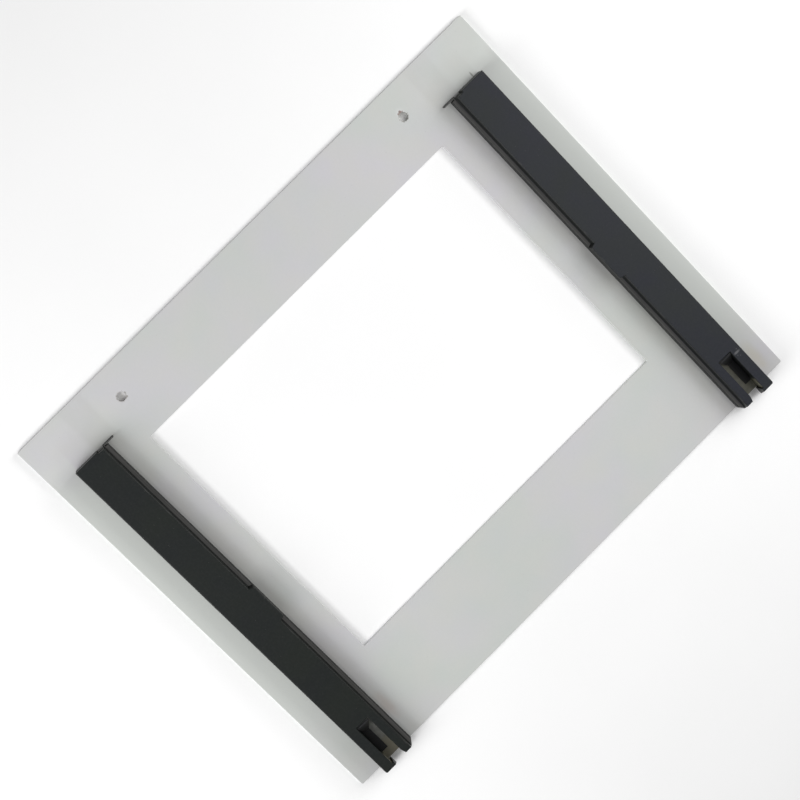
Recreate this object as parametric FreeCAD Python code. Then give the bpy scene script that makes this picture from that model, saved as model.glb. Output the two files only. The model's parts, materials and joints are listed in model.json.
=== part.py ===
import FreeCAD, Part
import math
import os

from FreeCAD import Vector

# Negative carrier: a coated plate with a film window, and two rails that end in forks.
# Millimetres, +Z up. +X runs along the plate's long side, +Y points to the front edge, where the
# handle holes are. The origin is on the underside, at the centre of the whole footprint.

# Plate
PLATE_LENGTH = 228.4  # along X
PLATE_WIDTH = 181.0  # along Y
PLATE_THICKNESS = 2.0
PLATE_CORNER_RADIUS = 0.6
PLATE_EDGE_BREAK = 0.15
SIDE_BORDER = 38.0  # from each end of the plate to the film window
FRONT_BORDER = 29.8
REAR_BORDER = 37.8
WINDOW_CORNER_RADIUS = 0.5

# Two plain holes for a handle
HANDLE_HOLE_DIAMETER = 3.4
HANDLE_HOLE_SPACING = 146.0
HANDLE_HOLE_FROM_FRONT = 12.0

# Rails: the top face is as wide as the fork's two prongs and its slot
OUTER_PRONG_WIDTH = 4.15
FORK_SLOT_WIDTH = 6.0
INNER_PRONG_WIDTH = 3.45
RAIL_HEIGHT = 7.5
RAIL_FROM_PLATE_END = 9.8
RAIL_FROM_FRONT = 19.55
RAIL_PAIR_SHIFT = 0.35  # the pair sits this far to the right of the plate's middle
RAIL_EDGE_BREAK = 0.3
LEDGE_WIDTH = 2.0
LEDGE_HEIGHT = 3.0
LEDGE_EDGE_BREAK = 0.2

# The block that fills the ledge about half way along
BLOCK_LENGTH = 17.0
BLOCK_FROM_REAR = 77.7  # from the plate's rear edge to the block's middle
BLOCK_END_BEVEL = 0.6

# Front end of each rail: a shallow recess, and a thin stop lip that stands on the plate
RECESS_WIDTH = 2.9
RECESS_DEPTH = 0.8
LIP_THICKNESS = 0.6
LIP_REACH = 3.2  # beyond the rail's foot
LIP_NECK_WIDTH = 0.8  # joins the lip to the end of the ledge
LIP_TO_LEDGE_GAP = 0.4

# Fork at the rear end of each rail
FORK_OVERHANG = 1.4  # of the outer prong's top, beyond the plate's rear edge
FORK_END_LEAN = 2.0  # how much further the prongs reach at their foot than at their top
FORK_SLOT_LENGTH = 20.8
INNER_PRONG_SHORTER = 0.5
FORK_FLARE_LENGTH = 2.2  # of the inner prong's side of the mouth
FORK_FLARE_WIDTH = 0.6
FORK_INNER_BEVEL_LENGTH = 2.6
FORK_OUTER_BEVEL = 0.5
TOE_WIDTH = 0.8  # of the outer prong's toe, which narrows the mouth behind the plate's edge

# Bent wear strip on the floor of each fork, held under the outer prong
STRIP_THICKNESS = 0.5
STRIP_WIDTH = 2.8  # inside the slot
STRIP_TOP_TO_PRONG = 0.3  # gap between its turned-up end, where it is widest, and the inner prong
STRIP_TUCK = 2.2  # under the outer prong
STRIP_LENGTH = 10.7
STRIP_FROM_REAR = 3.7  # from the plate's rear edge to the strip
STRIP_TO_SLOT_END = 0.35  # gap between the turned-up end's top and the slot's end wall
STRIP_BELOW_TOP = 0.5
STRIP_CLEARANCE = 0.15

# Hollow underside of each rail
RAIL_WALL = 2.0
POCKET_ROOF = 2.5
SCREW_LAND = 9.0  # solid length around each screw

# Countersunk screws
SCREWS_PER_RAIL = 4
SCREW_DIAMETER = 3.0
SCREW_HEAD_REACH = 1.3  # of the 90 degree head's rim beyond the shank, and the head's height
SCREW_HEAD_SUNK = 0.1
SCREW_HOLE_CLEARANCE = 0.2  # all round, where the shank passes through the plate
SCREW_TIP_GAP = 0.6
SCREW_TIP_BEVEL = 0.4
SCREW_HOLE_ROOF = 1.3  # left in the rail above each blind hole
SCREW_FROM_FRONT_END = 10.0
SCREW_FROM_SLOT = 7.0
CROSS_WIDTH = 0.75
CROSS_LENGTH = 3.2
CROSS_DEPTH = 1.1
CROSS_BOTTOM_LENGTH = 1.3

# Places that follow from the sizes
PLATE_RIGHT = PLATE_LENGTH / 2
PLATE_FRONT = (PLATE_WIDTH + FORK_OVERHANG + FORK_END_LEAN) / 2
PLATE_REAR = PLATE_FRONT - PLATE_WIDTH
PLATE_TOP = PLATE_THICKNESS
SLOT_INSIDE = OUTER_PRONG_WIDTH + FORK_SLOT_WIDTH
TOE_INSIDE = OUTER_PRONG_WIDTH + TOE_WIDTH
TOP_FACE_WIDTH = SLOT_INSIDE + INNER_PRONG_WIDTH
RAIL_WIDTH = TOP_FACE_WIDTH + LEDGE_WIDTH
RAIL_OUTSIDE = PLATE_RIGHT - RAIL_FROM_PLATE_END
RAIL_FRONT = PLATE_FRONT - RAIL_FROM_FRONT
RAIL_TIP = PLATE_REAR - FORK_OVERHANG
RAIL_FOOT_TIP = RAIL_TIP - FORK_END_LEAN
RAIL_TOP = PLATE_TOP + RAIL_HEIGHT
LEDGE_TOP = PLATE_TOP + LEDGE_HEIGHT
SLOT_END = RAIL_TIP + FORK_SLOT_LENGTH
INNER_PRONG_TIP = RAIL_TIP + INNER_PRONG_SHORTER
STRIP_REAR = PLATE_REAR + STRIP_FROM_REAR
STRIP_FRONT = STRIP_REAR + STRIP_LENGTH
STRIP_TOP = RAIL_TOP - STRIP_BELOW_TOP
SCREW_LINE = TOP_FACE_WIDTH / 2
SCREW_HOLE_END = RAIL_TOP - SCREW_HOLE_ROOF
SCREW_TIP = SCREW_HOLE_END - SCREW_TIP_GAP
OVERCUT = 1.0
SAME_PLACE = 0.001


def box(corner, size):
    """A box from its lowest corner and its size."""
    return Part.makeBox(size[0], size[1], size[2], Vector(*corner))


def prism(outline, bottom, top):
    """An upright prism over a closed outline of (x, y) points."""
    points = [Vector(x, y, bottom) for x, y in outline]
    return extruded(points, Vector(0, 0, top - bottom))


def extruded(points, direction):
    """The flat face inside a closed run of points, drawn out along a direction."""
    face = Part.Face(Part.makePolygon(points + points[:1]))
    return face.extrude(direction)


def upright_edges(shape, corners):
    """The upright edges of a shape that stand at the given (x, y) corners."""
    found = []
    for edge in shape.Edges:
        room = edge.BoundBox
        if room.XLength > SAME_PLACE or room.YLength > SAME_PLACE:
            continue
        if any(math.hypot(room.XMin - x, room.YMin - y) < SAME_PLACE for x, y in corners):
            found.append(edge)
    return found


def rounded_slab(x_range, y_range, z_range, radius):
    """A flat slab with round upright corners, from its lowest and highest x, y and z."""
    low = [side[0] for side in (x_range, y_range, z_range)]
    size = [side[1] - side[0] for side in (x_range, y_range, z_range)]
    slab = box(low, size)
    corners = [(x, y) for x in x_range for y in y_range]
    return slab.makeFillet(radius, upright_edges(slab, corners))


def on_rail(inward, y):
    """Plan point on the right rail, a distance inward from its outer face."""
    return (RAIL_OUTSIDE - inward, y)


def screw_stations():
    """Where the screws stand along a rail, from front to rear."""
    first = RAIL_FRONT - SCREW_FROM_FRONT_END
    last = SLOT_END + SCREW_FROM_SLOT
    step = (first - last) / (SCREWS_PER_RAIL - 1)
    return [first - step * number for number in range(SCREWS_PER_RAIL)]


def make_right_rail():
    """The right rail: profile, block, lip, fork and hollow underside."""
    rail = rail_bar()
    rail = rail.fuse([mid_block(), stop_lip()])
    rail = rail.cut([front_recess(), lip_gap(), fork_slot()])
    rail = rail.fuse(prong_toe()).cut(behind_the_prongs())
    rail = rail.cut([strip_seat()] + underside_pockets() + screw_holes())
    return rail.removeSplitter()


def rail_bar():
    """The rail's bar, with its edges broken and a ledge along its inner side."""
    profile = [
        (0, PLATE_TOP),
        (0, RAIL_TOP - RAIL_EDGE_BREAK),
        (RAIL_EDGE_BREAK, RAIL_TOP),
        (TOP_FACE_WIDTH - RAIL_EDGE_BREAK, RAIL_TOP),
        (TOP_FACE_WIDTH, RAIL_TOP - RAIL_EDGE_BREAK),
        (TOP_FACE_WIDTH, LEDGE_TOP),
        (RAIL_WIDTH - LEDGE_EDGE_BREAK, LEDGE_TOP),
        (RAIL_WIDTH, LEDGE_TOP - LEDGE_EDGE_BREAK),
        (RAIL_WIDTH, PLATE_TOP),
    ]
    points = [Vector(RAIL_OUTSIDE - inward, RAIL_FOOT_TIP, z) for inward, z in profile]
    return extruded(points, Vector(0, RAIL_FRONT - RAIL_FOOT_TIP, 0))


def mid_block():
    """The block that brings the top face out flush over the ledge."""
    middle = PLATE_REAR + BLOCK_FROM_REAR
    front = middle + BLOCK_LENGTH / 2
    rear = middle - BLOCK_LENGTH / 2
    root = TOP_FACE_WIDTH - RAIL_WALL
    outline = [
        on_rail(root, front),
        on_rail(TOP_FACE_WIDTH, front),
        on_rail(RAIL_WIDTH, front - BLOCK_END_BEVEL),
        on_rail(RAIL_WIDTH, rear + BLOCK_END_BEVEL),
        on_rail(TOP_FACE_WIDTH, rear),
        on_rail(root, rear),
    ]
    block = prism(outline, PLATE_TOP, RAIL_TOP)
    x, y = on_rail(RAIL_WIDTH, rear - OVERCUT)
    edge = [
        Vector(x - OVERCUT, y, RAIL_TOP - RAIL_EDGE_BREAK - OVERCUT),
        Vector(x - OVERCUT, y, RAIL_TOP + OVERCUT),
        Vector(x + RAIL_EDGE_BREAK + OVERCUT, y, RAIL_TOP + OVERCUT),
    ]
    return block.cut(extruded(edge, Vector(0, BLOCK_LENGTH + 2 * OVERCUT, 0)))


def stop_lip():
    """The thin lip that stands on the plate at the rail's front end."""
    inner = RAIL_WIDTH + LIP_REACH
    x, y = on_rail(inner, RAIL_FRONT - LIP_THICKNESS)
    length = inner - TOP_FACE_WIDTH
    return box((x, y, PLATE_TOP), (length, LIP_THICKNESS, LEDGE_HEIGHT))


def front_recess():
    """The shallow recess in the front end of the tall part, beside the lip."""
    x, y = on_rail(TOP_FACE_WIDTH, RAIL_FRONT - RECESS_DEPTH)
    height = RAIL_HEIGHT + 2 * OVERCUT
    return box((x, y, PLATE_TOP - OVERCUT), (RECESS_WIDTH, RECESS_DEPTH + OVERCUT, height))


def lip_gap():
    """The narrow gap between the lip and the end of the ledge, as far as the lip's neck."""
    x, y = on_rail(RAIL_WIDTH + OVERCUT, RAIL_FRONT - LIP_THICKNESS - LIP_TO_LEDGE_GAP)
    width = LEDGE_WIDTH - LIP_NECK_WIDTH + OVERCUT
    height = LEDGE_HEIGHT + 2 * OVERCUT
    return box((x, y, PLATE_TOP - OVERCUT), (width, LIP_TO_LEDGE_GAP, height))


def fork_slot():
    """The open slot between the prongs."""
    x, y = on_rail(SLOT_INSIDE, RAIL_FOOT_TIP - OVERCUT)
    length = SLOT_END - RAIL_FOOT_TIP + OVERCUT
    height = RAIL_HEIGHT + 2 * OVERCUT
    return box((x, y, PLATE_TOP - OVERCUT), (FORK_SLOT_WIDTH, length, height))


def prong_toe():
    """The toe that widens the outer prong behind the plate's rear edge."""
    x, y = on_rail(TOE_INSIDE, RAIL_FOOT_TIP)
    return box((x, y, PLATE_TOP), (TOE_WIDTH, PLATE_REAR - RAIL_FOOT_TIP, RAIL_HEIGHT))


def behind_the_prongs():
    """The space behind the prongs' ends, which lean out from the top to the foot."""
    far = RAIL_FOOT_TIP - OVERCUT
    outline = [
        on_rail(-OVERCUT, RAIL_TIP + FORK_OUTER_BEVEL + OVERCUT),
        on_rail(FORK_OUTER_BEVEL, RAIL_TIP),
        on_rail(TOE_INSIDE, RAIL_TIP),
        on_rail(SLOT_INSIDE, INNER_PRONG_TIP + FORK_FLARE_LENGTH),
        on_rail(SLOT_INSIDE + FORK_FLARE_WIDTH, INNER_PRONG_TIP),
        on_rail(TOP_FACE_WIDTH, INNER_PRONG_TIP),
        on_rail(RAIL_WIDTH, INNER_PRONG_TIP + FORK_INNER_BEVEL_LENGTH),
        on_rail(RAIL_WIDTH + OVERCUT, INNER_PRONG_TIP + FORK_INNER_BEVEL_LENGTH),
        on_rail(RAIL_WIDTH + OVERCUT, far),
        on_rail(-OVERCUT, far),
    ]
    lean = FORK_END_LEAN / RAIL_HEIGHT
    below = RAIL_HEIGHT + OVERCUT
    height = below + OVERCUT
    points = [Vector(x, y - lean * below, RAIL_TOP - below) for x, y in outline]
    return extruded(points, Vector(0, lean * height, height))


def strip_seat():
    """The seat under the outer prong that holds the wear strip down."""
    inward = OUTER_PRONG_WIDTH - STRIP_TUCK - STRIP_CLEARANCE
    x, y = on_rail(OUTER_PRONG_WIDTH + OVERCUT, STRIP_REAR - STRIP_CLEARANCE)
    width = OUTER_PRONG_WIDTH + OVERCUT - inward
    length = STRIP_LENGTH + 2 * STRIP_CLEARANCE
    return box((x, y, PLATE_TOP - OVERCUT), (width, length, STRIP_THICKNESS + OVERCUT))


def underside_pockets():
    """The pockets that hollow the rail between its screws."""
    pockets = []
    stations = screw_stations()
    width = TOP_FACE_WIDTH - 2 * RAIL_WALL
    height = RAIL_HEIGHT - POCKET_ROOF + OVERCUT
    for front_screw, rear_screw in zip(stations, stations[1:]):
        x, y = on_rail(TOP_FACE_WIDTH - RAIL_WALL, rear_screw + SCREW_LAND / 2)
        length = front_screw - rear_screw - SCREW_LAND
        pockets.append(box((x, y, PLATE_TOP - OVERCUT), (width, length, height)))
    return pockets


def screw_holes():
    """The blind holes that the screws are driven into."""
    bottom = PLATE_TOP - OVERCUT
    holes = []
    for station in screw_stations():
        start = Vector(*on_rail(SCREW_LINE, station), bottom)
        holes.append(Part.makeCylinder(SCREW_DIAMETER / 2, SCREW_HOLE_END - bottom, start))
    return holes


def make_right_wear_strip():
    """The bent strip: a flat base held under the prong, and an end turned up in the slot."""
    x, y = on_rail(OUTER_PRONG_WIDTH + STRIP_WIDTH, STRIP_REAR)
    base = box((x, y, PLATE_TOP), (STRIP_WIDTH + STRIP_TUCK, STRIP_LENGTH, STRIP_THICKNESS))
    return base.fuse(turned_up_end()).removeSplitter()


def turned_up_end():
    """The strip's front end, which leans to the slot's end and grows wider as it rises."""
    top_front = SLOT_END - STRIP_TO_SLOT_END
    x_top = on_rail(SLOT_INSIDE - STRIP_TOP_TO_PRONG, 0)[0]
    x_base = on_rail(OUTER_PRONG_WIDTH + STRIP_WIDTH, 0)[0]
    x_outer = on_rail(OUTER_PRONG_WIDTH + STRIP_CLEARANCE, 0)[0]
    side = [
        Vector(x_top, STRIP_FRONT - STRIP_THICKNESS, PLATE_TOP),
        Vector(x_top, STRIP_FRONT, PLATE_TOP),
        Vector(x_top, top_front, STRIP_TOP),
        Vector(x_top, top_front - STRIP_THICKNESS, STRIP_TOP),
    ]
    front = [
        Vector(x_base, STRIP_REAR, PLATE_TOP),
        Vector(x_outer, STRIP_REAR, PLATE_TOP),
        Vector(x_outer, STRIP_REAR, STRIP_TOP),
        Vector(x_top, STRIP_REAR, STRIP_TOP),
    ]
    sheet = extruded(side, Vector(x_outer - x_top, 0, 0))
    return sheet.common(extruded(front, Vector(0, SLOT_END - STRIP_REAR, 0)))


def make_screw(x, y):
    """A countersunk screw that points up, with a cross recess in its head."""
    radius = SCREW_DIAMETER / 2
    outline = [
        (0, SCREW_HEAD_SUNK),
        (radius + SCREW_HEAD_REACH, SCREW_HEAD_SUNK),
        (radius, SCREW_HEAD_SUNK + SCREW_HEAD_REACH),
        (radius, SCREW_TIP - SCREW_TIP_BEVEL),
        (radius - SCREW_TIP_BEVEL, SCREW_TIP),
        (0, SCREW_TIP),
    ]
    points = [Vector(x + outward, y, z) for outward, z in outline]
    face = Part.Face(Part.makePolygon(points + points[:1]))
    body = face.revolve(Vector(x, y, 0), Vector(0, 0, 1), 360)
    return body.cut([cross_arm(x, y, angle) for angle in (0, 90)])


def cross_arm(x, y, angle):
    """One arm of the cross recess, narrower at its bottom."""
    mouth = CROSS_LENGTH / 2
    floor = CROSS_BOTTOM_LENGTH / 2
    below = SCREW_HEAD_SUNK - OVERCUT
    deepest = SCREW_HEAD_SUNK + CROSS_DEPTH
    side = [
        (-mouth, below),
        (mouth, below),
        (mouth, SCREW_HEAD_SUNK),
        (floor, deepest),
        (-floor, deepest),
        (-mouth, SCREW_HEAD_SUNK),
    ]
    points = [Vector(x + along, y - CROSS_WIDTH / 2, z) for along, z in side]
    arm = extruded(points, Vector(0, CROSS_WIDTH, 0))
    arm.rotate(Vector(x, y, 0), Vector(0, 0, 1), angle)
    return arm


def make_plate(screw_places):
    """The plate with its window, handle holes and countersunk screw holes."""
    ends = (-PLATE_RIGHT, PLATE_RIGHT)
    plate = rounded_slab(ends, (PLATE_REAR, PLATE_FRONT), (0, PLATE_TOP), PLATE_CORNER_RADIUS)
    window = rounded_slab(
        (SIDE_BORDER - PLATE_RIGHT, PLATE_RIGHT - SIDE_BORDER),
        (PLATE_REAR + REAR_BORDER, PLATE_FRONT - FRONT_BORDER),
        (-OVERCUT, PLATE_TOP + OVERCUT),
        WINDOW_CORNER_RADIUS,
    )
    plate = plate.cut(window)
    plate = plate.makeChamfer(PLATE_EDGE_BREAK, flat_edges(plate))
    return plate.cut(handle_holes() + [screw_seat(x, y) for x, y in screw_places])


def flat_edges(plate):
    """Every edge that lies in the plate's top or bottom face."""
    return [edge for edge in plate.Edges if edge.BoundBox.ZLength < PLATE_EDGE_BREAK]


def through_hole(x, y, diameter):
    """A plain hole through the plate."""
    height = PLATE_THICKNESS + 2 * OVERCUT
    return Part.makeCylinder(diameter / 2, height, Vector(x, y, -OVERCUT))


def handle_holes():
    """The two holes near the front edge."""
    y = PLATE_FRONT - HANDLE_HOLE_FROM_FRONT
    reach = HANDLE_HOLE_SPACING / 2
    return [through_hole(x, y, HANDLE_HOLE_DIAMETER) for x in (-reach, reach)]


def screw_seat(x, y):
    """A clearance hole with a countersink that opens downwards."""
    hole = through_hole(x, y, SCREW_DIAMETER + 2 * SCREW_HOLE_CLEARANCE)
    rise = SCREW_HEAD_REACH + SCREW_HEAD_SUNK + OVERCUT
    mouth = SCREW_DIAMETER / 2 + rise
    seat = Part.makeCone(mouth, SCREW_DIAMETER / 2, rise, Vector(x, y, -OVERCUT))
    return hole.fuse(seat)


def mirrored(shape):
    """The same shape on the plate's other side."""
    return shape.mirror(Vector(0, 0, 0), Vector(1, 0, 0))


def build():
    """Every piece by its node name."""
    shift = Vector(RAIL_PAIR_SHIFT, 0, 0)
    rail = make_right_rail()
    strip = make_right_wear_strip()
    nodes = {
        "right_rail": rail.translated(shift),
        "left_rail": mirrored(rail).translated(shift),
        "right_fork_wear_strip": strip.translated(shift),
        "left_fork_wear_strip": mirrored(strip).translated(shift),
    }
    places = []
    for number, station in enumerate(screw_stations(), start=1):
        x, y = on_rail(SCREW_LINE, station)
        for name, side in (("right", 1), ("left", -1)):
            place = (side * x + RAIL_PAIR_SHIFT, y)
            places.append(place)
            nodes[f"{name}_rail_screw_{number}"] = make_screw(*place)
    nodes["carrier_plate"] = make_plate(places)
    return nodes


os.makedirs("parts", exist_ok=True)
for node_name, node_shape in build().items():
    node_shape.exportStep(f"parts/{node_name}.step")
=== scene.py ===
import json
import math

import bmesh
import bpy
from bpy.props import FloatProperty, FloatVectorProperty, PointerProperty
from mathutils import Matrix, Vector


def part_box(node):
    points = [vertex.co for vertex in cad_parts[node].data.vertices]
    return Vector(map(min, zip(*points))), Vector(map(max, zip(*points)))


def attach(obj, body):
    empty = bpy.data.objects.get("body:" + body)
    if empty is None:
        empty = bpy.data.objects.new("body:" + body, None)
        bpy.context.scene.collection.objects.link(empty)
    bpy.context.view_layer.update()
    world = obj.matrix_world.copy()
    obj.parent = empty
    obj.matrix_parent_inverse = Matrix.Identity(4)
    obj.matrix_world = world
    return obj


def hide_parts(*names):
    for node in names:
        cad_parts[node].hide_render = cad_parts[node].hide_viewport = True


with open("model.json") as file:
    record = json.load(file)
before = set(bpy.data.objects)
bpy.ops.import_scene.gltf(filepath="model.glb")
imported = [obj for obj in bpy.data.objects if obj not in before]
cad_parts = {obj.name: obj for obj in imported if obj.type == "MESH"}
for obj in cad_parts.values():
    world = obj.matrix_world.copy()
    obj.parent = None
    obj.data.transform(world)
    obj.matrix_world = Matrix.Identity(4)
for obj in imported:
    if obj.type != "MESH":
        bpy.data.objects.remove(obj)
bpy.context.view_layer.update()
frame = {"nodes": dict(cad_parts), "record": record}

bl_info = {
    "name": "Negative carrier",
    "version": (1, 0, 0),
    "blender": (4, 5, 0),
    "location": "View3D > Sidebar > Carrier",
    "description": "A coated carrier plate with guide rails, fork strips, screws and a small studio",
    "category": "Object",
}

MM = 0.001

# Sides and places that the frame gives
PLATE_LOW, PLATE_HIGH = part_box("carrier_plate")
SIDES = ("left", "right")
SCREWS_PER_RAIL = 4

# Sizes inside the pieces, which their boxes don't give
LEDGE_HEIGHT = 3.0 * MM
LEDGE_WIDTH = 2.0 * MM
LIP_REACH = 3.2 * MM
PRONG_WIDTH = 4.15 * MM
SLOT_WIDTH = 6.0 * MM
SLOT_LENGTH = 20.8 * MM
FORK_END_LEAN = 2.0 * MM

# How a copy of a piece is welded and flattened before its edges are rounded
WELD = 0.002 * MM
FLAT_ANGLE = math.radians(0.5)
CREASE_ANGLE = math.radians(20)
EDGE_SEGMENTS = 3
WEAR_LAYER = "edge_wear"
SHADING_WEIGHT = 50

# The stage: each softbox's side in X, height and width in metres
SOFTBOXES = {
    "right_side": (0.8, 0.4, 0.5),
    "left_side": (-0.8, 0.4, 0.5),
    "right_near": (0.3, 0.3, 0.3),
    "left_near": (-0.3, 0.3, 0.3),
}
FLOOR_REACH = 3.0
FLOOR_GAP = 0.02 * MM
CAMERA_CLIP = 0.01
RAIL_SPECULAR = 0.24


# ---------------------------------------------------------------- settings


class CarrierSizes(bpy.types.PropertyGroup):
    """How far each piece's edges are rounded."""

    plate_edge: FloatProperty(
        name="Plate edge", description="Rounding of the plate's edges", default=0.06 * MM,
        min=0.0, unit="LENGTH", precision=5,
    )
    rail_edge: FloatProperty(
        name="Rail edge", description="Rounding of the moulded rails' edges", default=0.12 * MM,
        min=0.0, unit="LENGTH", precision=5,
    )
    strip_edge: FloatProperty(
        name="Strip edge", description="Rounding of the fork strips' edges", default=0.08 * MM,
        min=0.0, unit="LENGTH", precision=5,
    )
    screw_edge: FloatProperty(
        name="Screw edge", description="Rounding of the screws' edges", default=0.05 * MM,
        min=0.0, unit="LENGTH", precision=5,
    )


def colour_property(name, description, default):
    """A colour that a user can change."""
    return FloatVectorProperty(
        name=name, description=description, default=default, subtype="COLOR", size=3, min=0.0, max=1.0
    )


class CarrierColours(bpy.types.PropertyGroup):
    """The finishes' colours and how worn they are."""

    coating: colour_property("Coating", "The plate's baked coating", (0.565, 0.570, 0.565))
    # Olive colour that paints the shade on the fork floors, with a dirt tint; also used on the outer
    # prongs' inner walls.
    olive_shade_and_dirt: colour_property("Grime", "Dried dirt on the fork floors", (0.185, 0.180, 0.135))
    chip: colour_property("Chip", "Bare steel where the coating is chipped", (0.20, 0.185, 0.155))
    rust: colour_property("Rust", "Rust at a chipped hole", (0.16, 0.070, 0.052))
    # The right rail's black is painted lighter and the left rail's darker, standing in for how the light
    # falls on each.
    right_rail: colour_property("Right rail", "The right rail's moulded black", (0.0205, 0.0205, 0.0248))
    left_rail: colour_property("Left rail", "The left rail's moulded black", (0.0092, 0.0106, 0.0098))
    ledge: colour_property("Ledge", "The black where sliding has greyed it", (0.150, 0.147, 0.142))
    # Painted shade: the green-black that darkens the rails' rounded edges and upright faces.
    edge: colour_property("Edge", "The dark green-black of the rails' edges", (0.0045, 0.0060, 0.0050))
    strip: colour_property("Strip", "Blackened spring steel", (0.012, 0.013, 0.014))
    screw: colour_property("Screw", "Dull zinc plating", (0.55, 0.55, 0.53))
    floor: colour_property("Floor", "The studio's floor", (0.96, 0.96, 0.96))
    wear: FloatProperty(
        name="Wear", description="How far the edges are worn", default=0.5,
        min=0.0, max=1.0, subtype="FACTOR",
    )
    dust: FloatProperty(
        name="Dust", description="How much dust lies on upward faces", default=0.3,
        min=0.0, max=1.0, subtype="FACTOR",
    )


class CarrierStudio(bpy.types.PropertyGroup):
    """The lights and the camera."""

    sky: FloatProperty(
        name="Sky", description="Strength of the even light from all round", default=0.30, min=0.0,
    )
    right_side: FloatProperty(
        name="Right side light", description="Power of the large soft light on the right", default=2.9,
        min=0.0, unit="POWER",
    )
    left_side: FloatProperty(
        name="Left side light", description="Power of the large soft light on the left", default=4.5,
        min=0.0, unit="POWER",
    )
    right_near: FloatProperty(
        name="Right near light", description="Power of the small light near the right rail",
        default=0.64, min=0.0, unit="POWER",
    )
    left_near: FloatProperty(
        name="Left near light", description="Power of the small light near the left rail",
        default=0.46, min=0.0, unit="POWER",
    )
    lens: FloatProperty(
        name="Lens", description="Focal length of the camera in millimetres", default=85.5, min=1.0,
    )
    distance: FloatProperty(
        name="Distance", description="From the camera to the point it looks at", default=710.6 * MM,
        min=0.01, unit="LENGTH",
    )
    azimuth: FloatProperty(
        name="Azimuth", description="Direction of the camera round the object",
        default=math.radians(-166.89), subtype="ANGLE",
    )
    elevation: FloatProperty(
        name="Elevation", description="Height of the camera above the horizon",
        default=math.radians(79.334), subtype="ANGLE",
    )
    roll: FloatProperty(
        name="Roll", description="Turn of the camera about its own line of sight",
        default=math.radians(122.10), subtype="ANGLE",
    )
    aim: FloatVectorProperty(
        name="Aim", description="The point on the plate that the camera looks at",
        default=(-1.27 * MM, 6.12 * MM, 2.0 * MM), size=3, subtype="XYZ", unit="LENGTH",
    )


# ---------------------------------------------------------------- node graphs


class Graph:
    """A node tree, with short calls that add nodes and join them."""

    def __init__(self, tree):
        self.tree = tree

    def feed(self, socket, value):
        """Joins an output to a socket, or sets the socket's own value."""
        if isinstance(value, bpy.types.NodeSocket):
            self.tree.links.new(value, socket)
        else:
            socket.default_value = value

    def add(self, kind, inputs=None, **settings):
        """A new node with its settings, and its inputs by name or number."""
        node = self.tree.nodes.new(kind)
        for name, value in settings.items():
            setattr(node, name, value)
        for name, value in (inputs or {}).items():
            self.feed(node.inputs[name], value)
        return node

    def sum(self, operation, first, second=0.0, clamp=False):
        """A Math node's result."""
        node = self.add("ShaderNodeMath", {0: first, 1: second}, operation=operation, use_clamp=clamp)
        return node.outputs[0]

    def vector(self, operation, first, second=(0.0, 0.0, 0.0)):
        """A Vector Math node's vector."""
        return self.add("ShaderNodeVectorMath", {0: first, 1: second}, operation=operation).outputs[0]

    def rise(self, value, low, high):
        """A smooth step from 0 at low to 1 at high, or the other way round."""
        inputs = {"Value": value, "From Min": low, "From Max": high}
        return self.add("ShaderNodeMapRange", inputs, interpolation_type="SMOOTHSTEP").outputs[0]

    def span(self, value, low, high):
        """A value from 0 to 1 spread over another range."""
        return self.add("ShaderNodeMapRange", {"Value": value, "To Min": low, "To Max": high}).outputs[0]

    def mix(self, share, below, above):
        """A colour mixed from two."""
        node = self.add("ShaderNodeMix", {0: share}, data_type="RGBA")
        for number, colour in ((6, below), (7, above)):
            if not isinstance(colour, bpy.types.NodeSocket):
                colour = (*colour, 1.0)
            self.feed(node.inputs[number], colour)
        return node.outputs[2]

    def lift(self):
        """How far a face looks up: 1 up, 0 upright, -1 down."""
        normal = self.add("ShaderNodeNewGeometry").outputs["Normal"]
        return self.add("ShaderNodeSeparateXYZ", {0: normal}).outputs[2]

    def group(self, tree, inputs):
        """A shader group's outputs."""
        node = self.add("ShaderNodeGroup", node_tree=tree)
        for name, value in inputs.items():
            self.feed(node.inputs[name], value)
        return node.outputs


def shader_group(name, takes, gives):
    """An empty shader group: its graph, what comes in and where its results go."""
    tree = bpy.data.node_groups.new(name, "ShaderNodeTree")
    for socket_name, kind, default in takes:
        socket = tree.interface.new_socket(socket_name, in_out="INPUT", socket_type=kind)
        socket.default_value = default
    for socket_name in gives:
        tree.interface.new_socket(socket_name, in_out="OUTPUT", socket_type="NodeSocketFloat")
    graph = Graph(tree)
    return graph, graph.add("NodeGroupInput").outputs, graph.add("NodeGroupOutput").inputs


NUMBER = "NodeSocketFloat"
ARROW = "NodeSocketVector"


def patches_group():
    """Cloudy patches of a given size in millimetres, which may be drawn out along an axis."""
    takes = [
        ("Position", ARROW, (0, 0, 0)),
        ("Size", NUMBER, 10.0),
        ("Stretch", ARROW, (1, 1, 1)),
        ("Detail", NUMBER, 3.0),
        ("Seed", NUMBER, 0.0),
    ]
    graph, given, result = shader_group("patches", takes, ["Patches"])
    scale = graph.sum("DIVIDE", 1.0 / MM, given["Size"])
    place = graph.add("ShaderNodeVectorMath", {0: given["Position"], "Scale": scale}, operation="SCALE")
    place = graph.vector("DIVIDE", place.outputs[0], given["Stretch"])
    inputs = {"Vector": place, "W": given["Seed"], "Scale": 1.0, "Detail": given["Detail"]}
    noise = graph.add("ShaderNodeTexNoise", inputs, noise_dimensions="4D")
    graph.feed(result["Patches"], graph.rise(noise.outputs[0], 0.28, 0.72))
    return graph.tree


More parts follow.
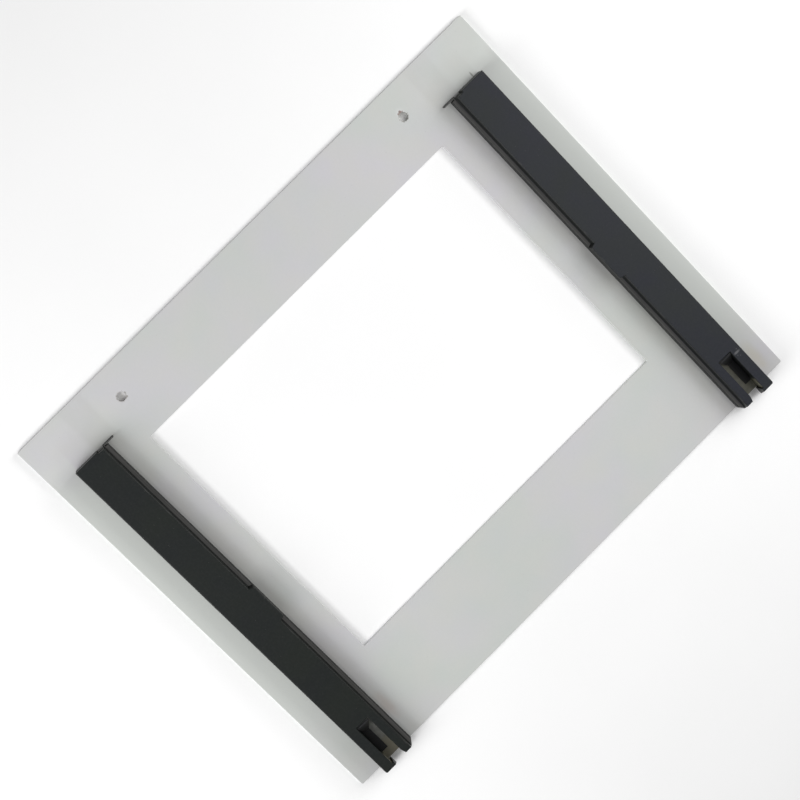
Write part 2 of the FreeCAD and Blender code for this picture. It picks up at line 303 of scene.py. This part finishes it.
def spot_group():
    """A ragged spot about a place: round, or square where Square is 1."""
    takes = [
        ("Position", ARROW, (0, 0, 0)),
        ("Centre", ARROW, (0, 0, 0)),
        ("Reach", ARROW, (1, 1, 1)),
        ("Softness", NUMBER, 0.1),
        ("Ragged", NUMBER, 0.2),
        ("Grain", NUMBER, 1.0),
        ("Square", NUMBER, 0.0),
    ]
    graph, given, result = shader_group("spot", takes, ["Mask"])
    place = graph.vector("SUBTRACT", given["Position"], given["Centre"])
    place = graph.vector("DIVIDE", place, given["Reach"])
    length = graph.add("ShaderNodeVectorMath", {0: place}, operation="LENGTH").outputs["Value"]
    side = graph.add("ShaderNodeSeparateXYZ", {0: graph.vector("ABSOLUTE", place)}).outputs
    widest = graph.sum("MAXIMUM", graph.sum("MAXIMUM", side[0], side[1]), side[2])
    shape = graph.add("ShaderNodeMix", {0: given["Square"], 2: length, 3: widest}, data_type="FLOAT")
    scale = graph.sum("DIVIDE", 1.0 / MM, given["Grain"])
    noise = graph.add("ShaderNodeTexNoise", {"Vector": given["Position"], "Scale": scale, "Detail": 4.0})
    wobble = graph.sum("MULTIPLY", graph.sum("SUBTRACT", noise.outputs[0], 0.5), given["Ragged"])
    distance = graph.sum("ADD", shape.outputs[0], wobble)
    low = graph.sum("SUBTRACT", 1.0, given["Softness"])
    high = graph.sum("ADD", 1.0, given["Softness"])
    graph.feed(result["Mask"], graph.sum("SUBTRACT", 1.0, graph.rise(distance, low, high)))
    return graph.tree


def edge_wear_group():
    """Broken wear along the rounded edges, read from the mesh's own edge layer."""
    takes = [("Position", ARROW, (0, 0, 0)), ("Size", NUMBER, 2.0), ("Amount", NUMBER, 0.5)]
    graph, given, result = shader_group("edge wear", takes, ["Mask"])
    edge = graph.add("ShaderNodeAttribute", attribute_name=WEAR_LAYER).outputs["Fac"]
    scale = graph.sum("DIVIDE", 1.0 / MM, given["Size"])
    noise = graph.add("ShaderNodeTexNoise", {"Vector": given["Position"], "Scale": scale, "Detail": 5.0})
    low = graph.sum("SUBTRACT", 0.8, graph.sum("MULTIPLY", given["Amount"], 0.5))
    broken = graph.rise(noise.outputs[0], low, graph.sum("ADD", low, 0.15))
    graph.feed(result["Mask"], graph.sum("MULTIPLY", edge, broken, clamp=True))
    return graph.tree


def dust_group():
    """Fine dust and a few larger specks on faces that look up."""
    takes = [("Position", ARROW, (0, 0, 0)), ("Amount", NUMBER, 0.3), ("Size", NUMBER, 0.6)]
    graph, given, result = shader_group("dust", takes, ["Film", "Specks"])
    up = graph.rise(graph.lift(), 0.5, 0.95)
    amount = graph.sum("MULTIPLY", up, given["Amount"])
    scale = graph.sum("DIVIDE", 1.0 / MM, given["Size"])
    film = graph.add("ShaderNodeTexNoise", {"Vector": given["Position"], "Scale": scale, "Detail": 6.0})
    graph.feed(result["Film"], graph.sum("MULTIPLY", graph.rise(film.outputs[0], 0.4, 0.7), amount))
    cells = graph.add("ShaderNodeTexVoronoi", {"Vector": given["Position"], "Scale": scale})
    chosen = graph.add("ShaderNodeSeparateXYZ", {0: cells.outputs["Color"]}).outputs[0]
    near = graph.sum("SUBTRACT", 1.0, graph.rise(cells.outputs["Distance"], 0.06, 0.13))
    speck = graph.sum("MULTIPLY", near, graph.rise(chosen, 0.93, 0.94))
    graph.feed(result["Specks"], graph.sum("MULTIPLY", speck, amount))
    return graph.tree


def make_groups():
    """Every shared effect, built once."""
    return {
        "patches": patches_group(),
        "spot": spot_group(),
        "edge wear": edge_wear_group(),
        "dust": dust_group(),
    }


GROUPS = {}


def new_material(name):
    """An empty material, its graph, its main shader and the position in the object."""
    material = bpy.data.materials.new(name)
    material.use_nodes = True
    material.node_tree.nodes.clear()
    graph = Graph(material.node_tree)
    shader = graph.add("ShaderNodeBsdfPrincipled")
    graph.add("ShaderNodeOutputMaterial", {"Surface": shader.outputs[0]})
    position = graph.add("ShaderNodeTexCoord").outputs["Object"]
    return material, graph, shader, position


def patches(graph, position, size, stretch=(1, 1, 1), detail=3.0, seed=0.0):
    """Cloudy patches in a material."""
    inputs = {"Position": position, "Size": size, "Stretch": stretch, "Detail": detail, "Seed": seed}
    return graph.group(GROUPS["patches"], inputs)["Patches"]


def spot(graph, position, centre, reach, softness=0.1, ragged=0.2, grain=1.0, square=0.0):
    """A ragged spot in a material."""
    inputs = {
        "Position": position,
        "Centre": centre,
        "Reach": reach,
        "Softness": softness,
        "Ragged": ragged,
        "Grain": grain,
        "Square": square,
    }
    return graph.group(GROUPS["spot"], inputs)["Mask"]


def edge_wear(graph, position, size, amount):
    """Edge wear in a material."""
    inputs = {"Position": position, "Size": size, "Amount": amount}
    return graph.group(GROUPS["edge wear"], inputs)["Mask"]


def dust(graph, position, amount, size):
    """Dust in a material: its film and its specks."""
    outputs = graph.group(GROUPS["dust"], {"Position": position, "Amount": amount, "Size": size})
    return outputs["Film"], outputs["Specks"]


def bump(graph, shader, height, depth):
    """Feeds a height from 0 to 1, drawn out to a depth in metres, to the shader's normal."""
    node = graph.add("ShaderNodeBump", {"Height": height, "Distance": depth, "Strength": 1.0})
    graph.feed(shader.inputs["Normal"], node.outputs[0])


# ---------------------------------------------------------------- places on the object


def rail_places(side):
    """The rail's foot and outer face in X, its top's ends in Y, and which way is outward."""
    low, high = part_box(f"{side}_rail")
    rear = low.y + FORK_END_LEAN
    if side == "right":
        return low.x + LIP_REACH, high.x, rear, high.y, 1
    return high.x - LIP_REACH, low.x, rear, high.y, -1


def slot_middle(side):
    """The middle of the fork's slot on the plate's top."""
    _, outer, rear, _, outward = rail_places(side)
    x = outer - outward * (PRONG_WIDTH + SLOT_WIDTH / 2)
    return Vector((x, rear + SLOT_LENGTH / 2, PLATE_HIGH.z))


def handle_holes():
    """The handle holes' places, left and right, and their radius, from the record."""
    mount = next(m for m in frame["record"]["mounts"] if m["name"] == "handle_holes")
    half = mount["dims"]["spacing_x_mm"] * MM / 2
    x, y, z = mount["pos_m"]
    return Vector((x - half, y, z)), Vector((x + half, y, z)), mount["dims"]["hole_r_mm"] * MM


# ---------------------------------------------------------------- finishes


def coated_plate_finish(colours):
    """Pale baked coating with faint tints, orange peel, painted light outside the rails, painted shade
    along the rails' feet, on the fork floors and in the handle holes, olive dirt in the forks and chipped
    holes.
    """
    material, graph, shader, position = new_material("pale baked coating")
    coating = Vector(colours.coating)
    green = Vector((coating.x * 0.955, coating.y * 1.000, coating.z * 0.960))
    violet = Vector((coating.x * 1.010, coating.y * 0.985, coating.z * 1.045))
    warm = Vector((coating.x * 1.020, coating.y * 1.005, coating.z * 0.965))
    wide = patches(graph, position, 34.0, detail=2.0, seed=1.3)
    middle = patches(graph, position, 13.0, detail=3.0, seed=5.1)
    colour = graph.mix(wide, green, violet)
    colour = graph.mix(graph.sum("MULTIPLY", middle, 0.5), colour, warm)
    mottle = patches(graph, position, 0.9, detail=2.0, seed=2.0)
    colour = graph.mix(graph.sum("MULTIPLY", mottle, 0.10), colour, tuple(coating * 0.86))
    film, specks = dust(graph, position, colours.dust, 1.6)
    colour = graph.mix(graph.sum("MULTIPLY", specks, 0.9), colour, tuple(coating * 0.55))
    colour = lit_coating_borders(graph, position, colour, coating)
    colour = foot_shade(graph, position, colour)
    colour = stains(graph, position, colour)
    colour = fork_shade_and_dirt(graph, position, colour, colours)
    colour, chipped = hole_chips(graph, position, colour, colours)
    worn = edge_wear(graph, position, 3.0, colours.wear)
    colour = graph.mix(graph.sum("MULTIPLY", worn, 0.12), colour, tuple(colours.chip))
    scuffed = underside_scuffs(graph, position)
    colour = graph.mix(graph.sum("MULTIPLY", scuffed, 0.4), colour, tuple(coating * 0.5))
    graph.feed(shader.inputs["Base Color"], colour)
    rough = graph.sum("ADD", graph.span(middle, 0.42, 0.52), graph.sum("MULTIPLY", film, 0.25))
    graph.feed(shader.inputs["Roughness"], rough)
    peel = graph.sum("ADD", graph.sum("MULTIPLY", mottle, 0.5), patches(graph, position, 0.25))
    height = graph.sum("SUBTRACT", peel, graph.sum("MULTIPLY", chipped, 6.0))
    bump(graph, shader, height, 0.006 * MM)
    return material


def lit_coating_borders(graph, position, colour, coating):
    """Painted light: a lighter, slightly green coating outside the rails, standing in for the light that
    falls there.
    """
    # Painted light: the coating outside each rail is made about a tenth lighter.
    lit_tint = (coating.x * 1.10, coating.y * 1.13, coating.z * 1.09)
    for side in SIDES:
        _, outer, rear, front, outward = rail_places(side)
        centre = (outer + outward * 5.5 * MM, (rear + front) / 2 + 12 * MM, PLATE_HIGH.z)
        reach = (5.6 * MM, (front - rear) / 2 - 12 * MM, 2 * MM)
        mask = spot(graph, position, centre, reach, softness=0.25, ragged=0.2, grain=8.0, square=1.0)
        colour = graph.mix(mask, colour, lit_tint)
    return colour


def foot_shade(graph, position, colour):
    """Painted shade in the corner along each rail's inner foot and on the plate before its front end."""
    for side in SIDES:
        foot, outer, rear, front, _ = rail_places(side)
        # Painted shade on the plate just before the rail's front end.
        centre = ((foot + outer) / 2, front + 2 * MM, PLATE_HIGH.z)
        reach = (11 * MM, 7 * MM, MM)
        mask = spot(graph, position, centre, reach, softness=0.8, ragged=0.4, grain=5.0)
        colour = graph.mix(graph.sum("MULTIPLY", mask, 0.22), colour, (0.34, 0.34, 0.325))
        # Painted shade along the rail's inner foot, in the corner beside its wall.
        centre = (foot, (rear + front) / 2, PLATE_HIGH.z)
        reach = (4.0 * MM, (front - rear) / 2 - 2 * MM, MM)
        mask = spot(graph, position, centre, reach, softness=0.7, ragged=0.5, grain=6.0, square=1.0)
        colour = graph.mix(graph.sum("MULTIPLY", mask, 0.28), colour, (0.30, 0.285, 0.25))
    return colour


def stains(graph, position, colour):
    """Stains beside the right fork and at the left rail's inner foot, and a fine hair of dirt."""
    _, right_outer, rear, front, _ = rail_places("right")
    left_foot, _, left_rear, _, _ = rail_places("left")
    marks = [
        (right_outer + 3.0 * MM, rear + 10 * MM, 2.2 * MM, 6 * MM, (0.52, 0.47, 0.30)),
        (left_foot + 2.4 * MM, left_rear + 17 * MM, 1.8 * MM, 5 * MM, (0.42, 0.33, 0.29)),
    ]
    for x, y, half_width, half_length, tint in marks:
        centre = (x, y, PLATE_HIGH.z)
        reach = (half_width, half_length, MM)
        mask = spot(graph, position, centre, reach, softness=0.8, ragged=0.8, grain=3.0)
        colour = graph.mix(graph.sum("MULTIPLY", mask, 0.35), colour, tint)
    tip = (right_outer - 2.6 * MM, front + 1.0 * MM, PLATE_HIGH.z)
    hair = spot(graph, position, tip, (0.30 * MM, 1.2 * MM, MM), softness=0.4, ragged=0.4, grain=0.6)
    return graph.mix(graph.sum("MULTIPLY", hair, 0.6), colour, (0.13, 0.14, 0.11))


def fork_shade_and_dirt(graph, position, colour, colours):
    """Painted shade on each fork's floor between the prongs, tinted olive with dirt, browner at the left
    fork's rear.
    """
    for side in SIDES:
        middle = slot_middle(side)
        reach = (SLOT_WIDTH * 0.62, SLOT_LENGTH * 0.54, MM)
        mask = spot(graph, position, middle, reach, softness=0.08, ragged=0.3, grain=2.0, square=1.0)
        shade = patches(graph, position, 2.2, detail=4.0, seed=3.0)
        # The olive colour darkens the floor as painted shade between the prongs, tinted with dirt.
        dirt = Vector(colours.olive_shade_and_dirt)
        if side == "left":
            dirt = Vector((dirt.x * 1.15, dirt.y * 1.20, dirt.z * 1.45))
        patch = graph.mix(shade, tuple(dirt * 0.80), tuple(dirt * 1.35))
        if side == "left":
            rear = middle + Vector((0, -SLOT_LENGTH * 0.30, 0))
            reach = (SLOT_WIDTH, SLOT_LENGTH * 0.22, MM)
            brown = spot(graph, position, rear, reach, softness=0.5, ragged=0.5, grain=2.5)
            patch = graph.mix(graph.sum("MULTIPLY", brown, 0.75), patch, (0.270, 0.240, 0.150))
        colour = graph.mix(graph.sum("MULTIPLY", mask, 0.92), colour, patch)
    return colour


def hole_chips(graph, position, colour, colours):
    """Chipped coating at the handle holes: small grey spurs at the left one, broken rust at the right."""
    left, right, radius = handle_holes()
    pale = tuple(Vector(colours.coating) * 1.12)
    around = right + Vector((0.0, 2.1, 0)) * MM
    halo = spot(graph, position, around, (1.5 * MM, 1.6 * MM, MM), softness=0.5, ragged=0.4)
    colour = graph.mix(graph.sum("MULTIPLY", halo, 0.5), colour, pale)
    rim = (radius * 1.06, radius * 1.06, 2 * MM)
    chips = [
        (left + Vector((1.35, -1.35, 0)) * MM, (0.60 * MM, 0.42 * MM, MM), colours.chip, 0.65),
        (left + Vector((1.9, 0.1, 0)) * MM, (0.50 * MM, 0.26 * MM, MM), colours.chip, 0.6),
        (left, rim, colours.chip, 0.8),
        (right + Vector((0.15, 2.2, 0)) * MM, (0.55 * MM, 0.60 * MM, MM), colours.rust, 0.75),
        (right + Vector((-0.75, 2.0, 0)) * MM, (0.42 * MM, 0.36 * MM, MM), colours.rust, 0.65),
        (right + Vector((0.95, 1.75, 0)) * MM, (0.36 * MM, 0.30 * MM, MM), colours.rust, 0.55),
        (right, rim, colours.chip, 0.8),
    ]
    chipped = 0.0
    for centre, reach, tint, share in chips:
        mask = spot(graph, position, centre, reach, softness=0.18, ragged=1.3, grain=0.5)
        mask = graph.sum("MULTIPLY", mask, share)
        shade = patches(graph, position, 0.45, seed=9.0)
        bare = graph.mix(shade, tuple(Vector(tint) * 0.6), tuple(Vector(tint) * 1.5))
        colour = graph.mix(mask, colour, bare)
        chipped = graph.sum("MAXIMUM", mask, chipped)
    return hole_wall_shade(graph, position, colour), chipped


def hole_wall_shade(graph, position, colour):
    """Painted shade inside the handle holes: a dark olive shaded side against beige on the rest of each
    wall.
    """
    depth = PLATE_HIGH.z - PLATE_LOW.z
    left, right, radius = handle_holes()
    for hole, shaded_way in ((left, Vector((-1.0, 0.1, 0))), (right, Vector((0.9, -0.45, 0)))):
        centre = hole - Vector((0, 0, depth / 2))
        reach = (radius * 1.04, radius * 1.04, depth / 2)
        wall = spot(graph, position, centre, reach, softness=0.02, ragged=0.0)
        shadow = centre + shaded_way.normalized() * radius
        reach = (radius * 1.15, radius * 1.15, depth)
        dark = spot(graph, position, shadow, reach, softness=0.25, ragged=0.3, grain=0.8)
        # Painted shade: the wall's shaded side in dark olive.
        tint = graph.mix(dark, (0.27, 0.22, 0.16), (0.050, 0.050, 0.032))
        colour = graph.mix(wall, colour, tint)
    return colour


def underside_scuffs(graph, position):
    """Long rubbed streaks under the plate, where it slides on a stage."""
    down = graph.rise(graph.lift(), -0.5, -0.95)
    streaks = patches(graph, position, 1.4, stretch=(1, 30, 1), detail=5.0, seed=7.0)
    return graph.sum("MULTIPLY", down, graph.rise(streaks, 0.75, 1.0))


def moulded_rail_finish(colours, side):
    """Moulded black with faint tints, greyed ledges, fine dust, painted shade on the upright faces and
    rounded edges, and per side a lighter or darker black as painted light.
    """
    material, graph, shader, position = new_material(f"moulded black, {side}")
    # Painted light: each side's copy of the black is lighter or darker to stand in for how the light
    # falls on that rail.
    black = Vector(getattr(colours, f"{side}_rail"))
    blue = Vector((black.x * 0.92, black.y * 1.00, black.z * 1.12))
    green = Vector((black.x * 0.95, black.y * 1.08, black.z * 0.95))
    wide = patches(graph, position, 16.0, detail=2.0, seed=4.2)
    colour = graph.mix(wide, blue, green)
    film, specks = dust(graph, position, colours.dust, 0.8)
    colour = graph.mix(graph.sum("MULTIPLY", film, 0.04), colour, (0.30, 0.29, 0.28))
    ledge = ledge_mask(graph, position, side)
    streaks = patches(graph, position, 0.5, stretch=(1, 40, 1), detail=4.0, seed=6.0)
    rubbed = graph.sum("MULTIPLY", ledge, graph.span(streaks, 0.6, 1.0))
    colour = graph.mix(graph.sum("MULTIPLY", rubbed, 0.85), colour, tuple(colours.ledge))
    edge = edge_wear(graph, position, 4.0, colours.wear)
    # Painted shade: the rounded edges and upright faces are darkened to a green-black.
    rim = graph.add("ShaderNodeAttribute", attribute_name=WEAR_LAYER).outputs["Fac"]
    dark = graph.sum("MAXIMUM", rim, shaded_upright_faces(graph))
    colour = graph.mix(graph.sum("MULTIPLY", dark, 0.85), colour, tuple(colours.edge))
    colour = graph.mix(graph.sum("MULTIPLY", edge, 0.15), colour, tuple(colours.ledge))
    colour = graph.mix(graph.sum("MULTIPLY", specks, 0.8), colour, (0.35, 0.34, 0.32))
    colour = outer_wall_olive(graph, position, colour, colours, side)
    # Painted highlight across the right fork's outer prong near the slot's end.
    if side == "right":
        glint = graph.sum("MULTIPLY", prong_glint(graph, position), 0.55)
        colour = graph.mix(glint, colour, (0.17, 0.17, 0.175))
    graph.feed(shader.inputs["Base Color"], colour)
    shader.inputs["Specular IOR Level"].default_value = RAIL_SPECULAR
    rough = graph.sum("ADD", graph.span(wide, 0.40, 0.48), graph.sum("MULTIPLY", film, 0.3))
    graph.feed(shader.inputs["Roughness"], rough)
    grain = patches(graph, position, 0.22, detail=2.0)
    scratches = patches(graph, position, 0.35, stretch=(1, 60, 1), detail=3.0, seed=8.0)
    height = graph.sum("ADD", graph.sum("MULTIPLY", grain, 0.6), graph.sum("MULTIPLY", scratches, 0.4))
    bump(graph, shader, height, 0.004 * MM)
    return material


def shaded_upright_faces(graph):
    """1 on the rail's upright and steep faces, which get painted shade."""
    return graph.rise(graph.sum("ABSOLUTE", graph.lift()), 0.7, 0.4)


def ledge_mask(graph, position, side):
    """1 on the part of the ledges and lips that an insert slides over, 0 along the wall's foot."""
    place = graph.add("ShaderNodeSeparateXYZ", {0: position}).outputs
    up = graph.rise(graph.lift(), 0.6, 0.95)
    top = PLATE_HIGH.z + LEDGE_HEIGHT
    low = graph.rise(place[2], top + 1.0 * MM, top + 0.3 * MM)
    foot, _, _, _, outward = rail_places(side)
    wall = foot + outward * LEDGE_WIDTH
    clear = graph.rise(place[0], wall - outward * 0.15 * MM, wall - outward * 0.6 * MM)
    return graph.sum("MULTIPLY", graph.sum("MULTIPLY", up, low), clear)


def outer_wall_olive(graph, position, colour, colours, side):
    """Olive colour on the outer prong's inner wall, between the strip's rear end and the toe."""
    _, outer, rear, _, outward = rail_places(side)
    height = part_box(f"{side}_rail")[1].z - PLATE_HIGH.z
    centre = (outer - outward * PRONG_WIDTH, rear + 3.4 * MM, PLATE_HIGH.z + height * 0.35)
    reach = (0.2 * MM, 2.4 * MM, height * 0.5)
    mask = spot(graph, position, centre, reach, softness=0.3, ragged=0.6, grain=1.5, square=1.0)
    return graph.mix(graph.sum("MULTIPLY", mask, 0.8), colour, tuple(colours.olive_shade_and_dirt))


def prong_glint(graph, position):
    """A painted highlight: a soft grey glint across the right fork's outer prong near the slot's end,
    with specks beside it.
    """
    _, outer, rear, _, outward = rail_places("right")
    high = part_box("right_rail")[1].z
    along = rear + SLOT_LENGTH - 2.0 * MM
    marks = [
        (0.58, 0.0, 1.30, 0.42),
        (0.40, 1.1, 0.20, 0.16),
        (0.70, -1.2, 0.18, 0.16),
        (0.50, -1.9, 0.14, 0.12),
    ]
    glint = 0.0
    for inward, further, half_width, half_length in marks:
        centre = (outer - outward * PRONG_WIDTH * inward, along + further * MM, high)
        reach = (half_width * MM, half_length * MM, 0.6 * MM)
        mask = spot(graph, position, centre, reach, softness=0.55, ragged=0.9, grain=0.8)
        glint = graph.sum("MAXIMUM", mask, glint)
    return glint


def blackened_strip_finish(colours):
    """Blackened spring steel, a little bare along its cut edges, with painted light on its sloped faces.
    """
    material, graph, shader, position = new_material("blackened spring steel")
    dark = Vector(colours.strip)
    cloud = patches(graph, position, 1.8, detail=4.0, seed=2.5)
    colour = graph.mix(cloud, tuple(dark * 0.75), tuple(dark * 1.4))
    # Painted light: faces that lean between upright and flat are made lighter, as lit faces.
    up = graph.lift()
    lit_slope = graph.sum("MULTIPLY", graph.rise(up, 0.2, 0.4), graph.rise(up, 0.97, 0.9))
    colour = graph.mix(graph.sum("MULTIPLY", lit_slope, 0.8), colour, (0.050, 0.050, 0.052))
    worn = edge_wear(graph, position, 1.0, colours.wear)
    colour = graph.mix(graph.sum("MULTIPLY", worn, 0.5), colour, (0.12, 0.12, 0.12))
    graph.feed(shader.inputs["Base Color"], colour)
    graph.feed(shader.inputs["Metallic"], graph.span(worn, 0.25, 0.9))
    graph.feed(shader.inputs["Roughness"], graph.span(cloud, 0.34, 0.5))
    bump(graph, shader, patches(graph, position, 0.15, stretch=(1, 6, 1)), 0.003 * MM)
    return material


def zinc_screw_finish(colours):
    """Dull zinc plating with faint passivation tints and dirt."""
    material, graph, shader, position = new_material("dull zinc")
    zinc = Vector(colours.screw)
    cloud = patches(graph, position, 1.2, detail=3.0, seed=1.0)
    yellow = Vector((zinc.x * 0.98, zinc.y * 0.93, zinc.z * 0.80))
    colour = graph.mix(cloud, tuple(zinc), yellow)
    dirt = graph.rise(patches(graph, position, 0.8, detail=5.0, seed=4.0), 0.6, 0.9)
    colour = graph.mix(graph.sum("MULTIPLY", dirt, 0.6), colour, (0.10, 0.09, 0.07))
    graph.feed(shader.inputs["Base Color"], colour)
    graph.feed(shader.inputs["Metallic"], graph.span(dirt, 1.0, 0.4))
    graph.feed(shader.inputs["Roughness"], graph.span(cloud, 0.30, 0.45))
    bump(graph, shader, patches(graph, position, 0.2, detail=4.0), 0.004 * MM)
    return material


def floor_finish(colours):
    """Smooth matt paper with a faint tooth."""
    material, graph, shader, position = new_material("studio floor")
    paper = Vector(colours.floor)
    colour = graph.mix(patches(graph, position, 60.0), tuple(paper), tuple(paper * 0.985))
    graph.feed(shader.inputs["Base Color"], colour)
    shader.inputs["Roughness"].default_value = 0.9
    bump(graph, shader, patches(graph, position, 0.5), 0.01 * MM)
    return material


# ---------------------------------------------------------------- pieces


def softened(node, name, width):
    """A welded copy of a CAD piece with every edge rounded and the rounded faces marked for wear."""
    shell = bmesh.new()
    shell.from_mesh(frame["nodes"][node].data)
    bmesh.ops.remove_doubles(shell, verts=shell.verts, dist=WELD)
    bmesh.ops.dissolve_limit(
        shell, angle_limit=FLAT_ANGLE, verts=shell.verts, edges=shell.edges, delimit={"NORMAL"}
    )
    corners = [
        edge for edge in shell.edges if edge.is_manifold and edge.calc_face_angle() > CREASE_ANGLE
    ]
    rounded = bmesh.ops.bevel(
        shell,
        geom=corners,
        offset=width,
        offset_type="OFFSET",
        segments=EDGE_SEGMENTS,
        profile=0.5,
        affect="EDGES",
        clamp_overlap=False,
        material=-1,
    )
    layer = shell.loops.layers.float.new(WEAR_LAYER)
    for face in rounded["faces"]:
        for loop in face.loops:
            loop[layer] = 1.0
    for face in shell.faces:
        face.smooth = True
    return finished(shell, name, node)


def finished(shell, name, node):
    """The bmesh as a piece that stands for a CAD node and rides on its body."""
    mesh = bpy.data.meshes.new(name)
    shell.to_mesh(mesh)
    shell.free()
    piece = bpy.data.objects.new(name, mesh)
    bpy.context.scene.collection.objects.link(piece)
    even = piece.modifiers.new("even shading", "WEIGHTED_NORMAL")
    even.weight = SHADING_WEIGHT
    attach(piece, "root")
    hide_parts(node)
    return piece


def dress(piece, material):
    """Gives a piece its material."""
    piece.data.materials.clear()
    piece.data.materials.append(material)


class CARRIER_OT_plate(bpy.types.Operator):
    """Make the coated plate"""

    bl_idname = "carrier.plate"
    bl_label = "Coated plate"

    def execute(self, context):
        piece = softened("carrier_plate", "coated_plate", context.scene.carrier_sizes.plate_edge)
        dress(piece, coated_plate_finish(context.scene.carrier_colours))
        return {"FINISHED"}


class CARRIER_OT_rails(bpy.types.Operator):
    """Make the two moulded guide rails"""

    bl_idname = "carrier.rails"
    bl_label = "Guide rails"

    def execute(self, context):
        for side in SIDES:
            material = moulded_rail_finish(context.scene.carrier_colours, side)
            width = context.scene.carrier_sizes.rail_edge
            piece = softened(f"{side}_rail", f"{side}_guide_rail", width)
            dress(piece, material)
        return {"FINISHED"}


class CARRIER_OT_fork_strips(bpy.types.Operator):
    """Make the bent strip in each fork"""

    bl_idname = "carrier.fork_strips"
    bl_label = "Fork strips"

    def execute(self, context):
        material = blackened_strip_finish(context.scene.carrier_colours)
        for side in SIDES:
            width = context.scene.carrier_sizes.strip_edge
            piece = softened(f"{side}_fork_wear_strip", f"{side}_bent_strip", width)
            dress(piece, material)
        return {"FINISHED"}


class CARRIER_OT_screws(bpy.types.Operator):
    """Make the countersunk screws that hold the rails"""

    bl_idname = "carrier.screws"
    bl_label = "Screws"

    def execute(self, context):
        material = zinc_screw_finish(context.scene.carrier_colours)
        width = context.scene.carrier_sizes.screw_edge
        for side in SIDES:
            for number in range(1, SCREWS_PER_RAIL + 1):
                node = f"{side}_rail_screw_{number}"
                dress(softened(node, f"{side}_countersunk_screw_{number}", width), material)
        return {"FINISHED"}


# ---------------------------------------------------------------- studio


def make_floor(colours):
    """A wide pale floor under the plate."""
    sheet = bmesh.new()
    bmesh.ops.create_grid(sheet, x_segments=1, y_segments=1, size=FLOOR_REACH)
    bmesh.ops.translate(sheet, verts=sheet.verts, vec=(0, 0, PLATE_LOW.z - FLOOR_GAP))
    mesh = bpy.data.meshes.new("floor")
    sheet.to_mesh(mesh)
    sheet.free()
    mesh.materials.append(floor_finish(colours))
    floor = bpy.data.objects.new("floor", mesh)
    bpy.context.scene.collection.objects.link(floor)


def make_softbox(name, place, size, power):
    """A square soft light that looks at the plate's middle."""
    light = bpy.data.lights.new(name, "AREA")
    light.size = size
    light.energy = power
    box = bpy.data.objects.new(name, light)
    box.location = place
    box.rotation_euler = (-Vector(place)).to_track_quat("-Z", "Y").to_euler()
    bpy.context.scene.collection.objects.link(box)


def make_sky(strength):
    """Even white light from all round."""
    world = bpy.data.worlds.new("soft sky")
    world.use_nodes = True
    background = world.node_tree.nodes["Background"]
    background.inputs["Color"].default_value = (1.0, 1.0, 1.0, 1.0)
    background.inputs["Strength"].default_value = strength
    bpy.context.scene.world = world


def make_camera(studio):
    """The camera, from its direction, roll and distance."""
    level = math.cos(studio.elevation)
    back = Vector((
        math.sin(studio.azimuth) * level,
        -math.cos(studio.azimuth) * level,
        math.sin(studio.elevation),
    ))
    across = Vector((0, 0, 1)).cross(back).normalized()
    upward = back.cross(across)
    right = across * math.cos(studio.roll) + upward * math.sin(studio.roll)
    up = back.cross(right)
    data = bpy.data.cameras.new("camera")
    data.lens = studio.lens
    data.clip_start = CAMERA_CLIP
    camera = bpy.data.objects.new("camera", data)
    turn = Matrix((right, up, back)).transposed().to_4x4()
    camera.matrix_world = Matrix.Translation(Vector(studio.aim) + back * studio.distance) @ turn
    bpy.context.scene.collection.objects.link(camera)
    bpy.context.scene.camera = camera


class CARRIER_OT_stage(bpy.types.Operator):
    """Make the floor, the soft lights and the camera"""

    bl_idname = "carrier.stage"
    bl_label = "Stage"

    def execute(self, context):
        scene = context.scene
        studio = scene.carrier_studio
        make_floor(scene.carrier_colours)
        make_sky(studio.sky)
        for name, (side, height, width) in SOFTBOXES.items():
            make_softbox(f"{name}_softbox", (side, 0.0, height), width, getattr(studio, name))
        make_camera(studio)
        scene.view_settings.view_transform = "Standard"
        return {"FINISHED"}


# ---------------------------------------------------------------- panel and registering

PIECE_OPERATORS = (
    CARRIER_OT_plate,
    CARRIER_OT_rails,
    CARRIER_OT_fork_strips,
    CARRIER_OT_screws,
    CARRIER_OT_stage,
)


class CARRIER_PT_panel(bpy.types.Panel):
    """Lists the carrier's pieces and settings"""

    bl_idname = "CARRIER_PT_panel"
    bl_label = "Negative carrier"
    bl_space_type = "VIEW_3D"
    bl_region_type = "UI"
    bl_category = "Carrier"

    def draw(self, context):
        for operator in PIECE_OPERATORS:
            self.layout.operator(operator.bl_idname)
        for settings in (
            context.scene.carrier_sizes,
            context.scene.carrier_colours,
            context.scene.carrier_studio,
        ):
            column = self.layout.column()
            for name in settings.__annotations__:
                column.prop(settings, name)


CLASSES = (CarrierSizes, CarrierColours, CarrierStudio, *PIECE_OPERATORS, CARRIER_PT_panel)


def register():
    for kind in CLASSES:
        bpy.utils.register_class(kind)
    bpy.types.Scene.carrier_sizes = PointerProperty(type=CarrierSizes)
    bpy.types.Scene.carrier_colours = PointerProperty(type=CarrierColours)
    bpy.types.Scene.carrier_studio = PointerProperty(type=CarrierStudio)


def unregister():
    del bpy.types.Scene.carrier_studio
    del bpy.types.Scene.carrier_colours
    del bpy.types.Scene.carrier_sizes
    for kind in reversed(CLASSES):
        bpy.utils.unregister_class(kind)


def main():
    register()
    GROUPS.update(make_groups())
    bpy.ops.carrier.plate()
    bpy.ops.carrier.rails()
    bpy.ops.carrier.fork_strips()
    bpy.ops.carrier.screws()
    bpy.ops.carrier.stage()


if __name__ == "__main__":
    main()
